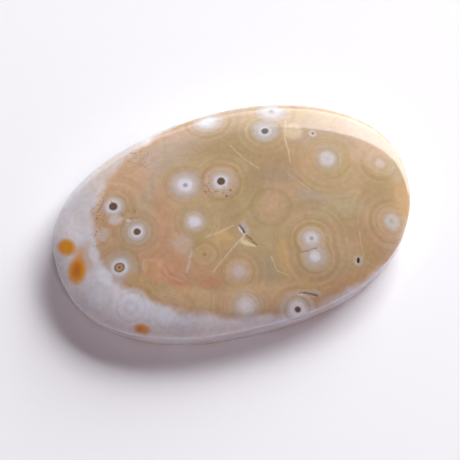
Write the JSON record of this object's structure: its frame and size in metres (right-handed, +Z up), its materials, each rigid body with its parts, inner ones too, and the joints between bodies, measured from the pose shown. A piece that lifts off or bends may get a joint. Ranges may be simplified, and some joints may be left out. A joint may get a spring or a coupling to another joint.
{
  "type": "ocean jasper pocket stone",
  "caption": "Low oval pocket stone with a smooth domed top, a rounded wall and a flat ground back to rest on.",
  "frame": {"origin": "middle of the stone's box, on the surface that its flat back rests on", "axes": "+X along the oval's length, +Y across it away from the most upright stretch of wall, +Z up out of the domed top"},
  "size_m": [0.06, 0.0386, 0.0083],
  "materials": {
    "polished_jasper": "polished"
  },
  "bodies": {
    "root": {"jasper_stone": "polished_jasper"}
  },
  "joints": []
}
